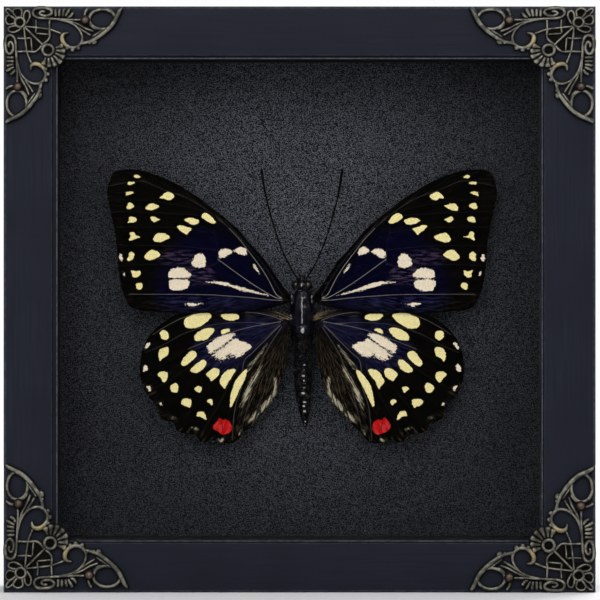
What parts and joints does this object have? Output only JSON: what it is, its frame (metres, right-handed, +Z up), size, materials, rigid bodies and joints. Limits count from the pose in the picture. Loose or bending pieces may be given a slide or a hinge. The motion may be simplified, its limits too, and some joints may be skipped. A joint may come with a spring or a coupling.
{
  "type": "framed butterfly specimen",
  "caption": "Butterfly with dark spotted wings spread in a black box frame with a glazed front and pierced bronze corner ornaments.",
  "frame": {"origin": "middle of the bottom rail's underside, at half the frame's depth", "axes": "+Z up, -Y out of the glazed front, +X to the right as seen from the front"},
  "size_m": [0.15, 0.0324, 0.1485],
  "materials": {
    "frame_paint": "satin",
    "bronze": "satin",
    "glass": "polished",
    "black_card": "matte",
    "leatherette": "satin",
    "foam": "matte",
    "hardboard": "matte",
    "steel": "satin",
    "wing_scales": "matte",
    "insect_body": "gloss",
    "glue": "satin"
  },
  "bodies": {
    "root": {"rail_top": "frame_paint", "rail_bottom": "frame_paint", "rail_left": "frame_paint", "rail_right": "frame_paint", "corner_top_left": "bronze", "corner_top_right": "bronze", "corner_bottom_left": "bronze", "corner_bottom_right": "bronze", "glass": "glass", "spacer_top": "black_card", "spacer_bottom": "black_card", "spacer_left": "black_card", "spacer_right": "black_card", "backing_sheet": "leatherette", "foam_board": "foam", "back_panel": "hardboard", "tab_1": "steel", "tab_2": "steel", "tab_3": "steel", "tab_4": "steel", "tab_5": "steel", "tab_6": "steel", "tab_7": "steel", "tab_8": "steel", "hanger": "steel", "hanger_nail_left": "steel", "hanger_nail_right": "steel", "butterfly_body": "insect_body", "forewing_left": "wing_scales", "forewing_right": "wing_scales", "hindwing_left": "wing_scales", "hindwing_right": "wing_scales", "antenna_left": "insect_body", "antenna_right": "insect_body", "glue_pad": "glue"}
  },
  "joints": []
}
